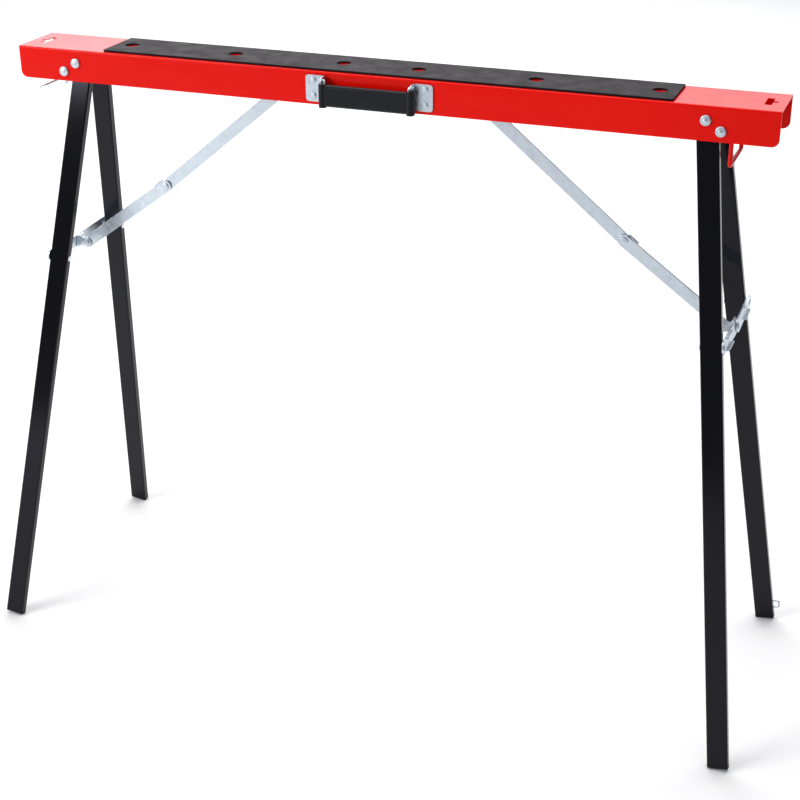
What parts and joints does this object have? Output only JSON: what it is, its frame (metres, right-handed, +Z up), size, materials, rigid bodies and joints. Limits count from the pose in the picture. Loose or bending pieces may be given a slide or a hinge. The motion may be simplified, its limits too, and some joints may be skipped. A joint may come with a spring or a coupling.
{
  "type": "folding sawhorse",
  "caption": "Folding steel sawhorse: red channel beam with rubber top strip, splayed flat-tube legs on fold pins, hinged spreaders, locking braces and a carry handle.",
  "frame": {"origin": "on the floor plane, at the middle of the bounding box along the beam and midway between the beam flanges; the middle between the fold pins is 5.2 mm to the -X side", "axes": "+X along the beam to the end with the keeper loop, +Y to the back, away from the handle, +Z up"},
  "size_m": [1.0673, 0.3796, 0.8091],
  "materials": {
    "red_paint": "glossy red powder coat",
    "black_paint": "glossy black powder coat",
    "zinc_plate": "bright zinc plate with a faint blue cast",
    "rubber": "matt black ribbed rubber",
    "black_plastic": "satin moulded black plastic"
  },
  "bodies": {
    "beam_assembly": {"beam": "red_paint", "rubber_pad": "rubber", "fold_pin_left": "zinc_plate", "fold_pin_right": "zinc_plate", "fold_tube_left": "zinc_plate", "fold_tube_right": "zinc_plate", "stop_pin_left": "zinc_plate", "stop_pin_right": "zinc_plate", "handle_plate_left": "zinc_plate", "handle_plate_right": "zinc_plate", "handle_rivet_upper_left": "zinc_plate", "handle_rivet_lower_left": "zinc_plate", "handle_rivet_upper_right": "zinc_plate", "handle_rivet_lower_right": "zinc_plate", "keeper_loop": "red_paint", "anchor_left": "zinc_plate", "anchor_right": "zinc_plate", "anchor_pin_left": "zinc_plate", "anchor_pin_right": "zinc_plate"},
    "handle": {"handle_grip": "black_plastic", "handle_pin_left": "zinc_plate", "handle_pin_right": "zinc_plate"},
    "wire_bail": {"wire_bail": "zinc_plate"},
    "carrier_left": {"carrier_left": "red_paint", "splay_rivet_front_left": "zinc_plate", "splay_rivet_back_left": "zinc_plate"},
    "leg_front_left": {"leg_front_left": "black_paint", "foot_cap_front_left": "black_plastic", "link_rivet_front_left": "zinc_plate"},
    "link_front_left": {"link_front_left": "zinc_plate"},
    "leg_back_left": {"leg_back_left": "black_paint", "foot_cap_back_left": "black_plastic", "link_rivet_back_left": "zinc_plate"},
    "link_back_left": {"link_back_left": "zinc_plate", "centre_rivet_left": "zinc_plate"},
    "clevis_left": {"clevis_left": "zinc_plate", "brace_pin_left": "zinc_plate"},
    "lower_strap_left": {"lower_strap_left": "zinc_plate", "elbow_rivet_lower_left": "zinc_plate"},
    "upper_strap_left": {"upper_strap_left": "zinc_plate", "elbow_rivet_upper_left": "zinc_plate"},
    "carrier_right": {"carrier_right": "red_paint", "splay_rivet_front_right": "zinc_plate", "splay_rivet_back_right": "zinc_plate"},
    "leg_front_right": {"leg_front_right": "black_paint", "foot_cap_front_right": "black_plastic", "link_rivet_front_right": "zinc_plate"},
    "link_front_right": {"link_front_right": "zinc_plate"},
    "leg_back_right": {"leg_back_right": "black_paint", "foot_cap_back_right": "black_plastic", "link_rivet_back_right": "zinc_plate", "foot_clip": "zinc_plate"},
    "link_back_right": {"link_back_right": "zinc_plate", "centre_rivet_right": "zinc_plate"},
    "clevis_right": {"clevis_right": "zinc_plate", "brace_pin_right": "zinc_plate"},
    "lower_strap_right": {"lower_strap_right": "zinc_plate", "elbow_rivet_lower_right": "zinc_plate"},
    "upper_strap_right": {"upper_strap_right": "zinc_plate", "elbow_rivet_upper_right": "zinc_plate"}
  },
  "joints": [
    {"name": "fold_left", "type": "hinge", "parent": "beam_assembly", "child": "carrier_left", "pos_m": [-0.42022, 0, 0.7893], "axis": [0, -1, 0], "range_deg": [0, 97.26]},
    {"name": "splay_front_left", "type": "hinge", "parent": "carrier_left", "child": "leg_front_left", "pos_m": [-0.42174, -0.0192, 0.7774], "axis": [0.992, 0, -0.1264], "range_deg": [0, 11.95]},
    {"name": "link_front_left", "type": "hinge", "parent": "leg_front_left", "child": "link_front_left", "pos_m": [-0.4672, -0.07275, 0.52814], "axis": [0.992, 0, -0.1264], "range_deg": [0, 65.12]},
    {"name": "splay_back_left", "type": "hinge", "parent": "carrier_left", "child": "leg_back_left", "pos_m": [-0.42174, 0.0192, 0.7774], "axis": [-0.992, 0, 0.1264], "range_deg": [0, 11.95]},
    {"name": "link_back_left", "type": "hinge", "parent": "leg_back_left", "child": "link_back_left", "pos_m": [-0.4672, 0.07275, 0.52814], "axis": [-0.992, 0, 0.1264], "range_deg": [0, 65.12]},
    {"name": "clevis_left", "type": "slide", "parent": "carrier_left", "child": "clevis_left", "axis": [0.1264, 0, 0.992], "range_m": [0, 0.06763]},
    {"name": "brace_anchor_left", "type": "hinge", "parent": "beam_assembly", "child": "upper_strap_left", "pos_m": [-0.11622, 0, 0.7893], "axis": [0, 1, 0], "range_deg": [0, 39.49]},
    {"name": "brace_pin_left", "type": "hinge", "parent": "clevis_left", "child": "lower_strap_left", "pos_m": [-0.45409, 0, 0.52345], "axis": [0, -1, 0], "range_deg": [0, 46.65]},
    {"name": "fold_right", "type": "hinge", "parent": "beam_assembly", "child": "carrier_right", "pos_m": [0.40978, 0, 0.7893], "axis": [0, 1, 0], "range_deg": [0, 97.5]},
    {"name": "splay_front_right", "type": "hinge", "parent": "carrier_right", "child": "leg_front_right", "pos_m": [0.41135, -0.0307, 0.7774], "axis": [0.9914, 0, 0.1305], "range_deg": [0, 11.12]},
    {"name": "link_front_right", "type": "hinge", "parent": "leg_front_right", "child": "link_front_right", "pos_m": [0.45785, -0.08043, 0.52834], "axis": [0.9914, 0, 0.1305], "range_deg": [0, 58.59]},
    {"name": "splay_back_right", "type": "hinge", "parent": "carrier_right", "child": "leg_back_right", "pos_m": [0.41135, 0.0307, 0.7774], "axis": [-0.9914, 0, -0.1305], "range_deg": [0, 11.12]},
    {"name": "link_back_right", "type": "hinge", "parent": "leg_back_right", "child": "link_back_right", "pos_m": [0.45785, 0.08043, 0.52834], "axis": [-0.9914, 0, -0.1305], "range_deg": [0, 58.59]},
    {"name": "clevis_right", "type": "slide", "parent": "carrier_right", "child": "clevis_right", "axis": [-0.1305, 0, 0.9914], "range_m": [0, 0.07256]},
    {"name": "brace_anchor_right", "type": "hinge", "parent": "beam_assembly", "child": "upper_strap_right", "pos_m": [0.10578, 0, 0.7893], "axis": [0, -1, 0], "range_deg": [0, 39.36]},
    {"name": "brace_pin_right", "type": "hinge", "parent": "clevis_right", "child": "lower_strap_right", "pos_m": [0.44476, 0, 0.52359], "axis": [0, 1, 0], "range_deg": [0, 46.54]},
    {"name": "handle_swing", "type": "hinge", "parent": "beam_assembly", "child": "handle", "pos_m": [-0.00522, -0.051, 0.7983], "axis": [-1, 0, 0], "range_deg": [0, 95]},
    {"name": "bail_swing", "type": "hinge", "parent": "beam_assembly", "child": "wire_bail", "pos_m": [-0.43846, 0, 0.77751], "axis": [0, -1, 0], "range_deg": [0, 40]}
  ],
  "couplings": [
    {"joint": "splay_front_left", "follows": "fold_left", "ratio": 0.12287},
    {"joint": "link_front_left", "follows": "fold_left", "ratio": 0.66956},
    {"joint": "splay_back_left", "follows": "fold_left", "ratio": 0.12287},
    {"joint": "link_back_left", "follows": "fold_left", "ratio": 0.66956},
    {"joint": "clevis_left", "follows": "fold_left", "m_per_rad": 0.039838},
    {"joint": "brace_anchor_left", "follows": "fold_left", "ratio": 0.406},
    {"joint": "brace_pin_left", "follows": "fold_left", "ratio": 0.47966},
    {"joint": "splay_front_right", "follows": "fold_right", "ratio": 0.11405},
    {"joint": "link_front_right", "follows": "fold_right", "ratio": 0.60096},
    {"joint": "splay_back_right", "follows": "fold_right", "ratio": 0.11405},
    {"joint": "link_back_right", "follows": "fold_right", "ratio": 0.60096},
    {"joint": "clevis_right", "follows": "fold_right", "m_per_rad": 0.042639},
    {"joint": "brace_anchor_right", "follows": "fold_right", "ratio": 0.40372},
    {"joint": "brace_pin_right", "follows": "fold_right", "ratio": 0.47731}
  ]
}
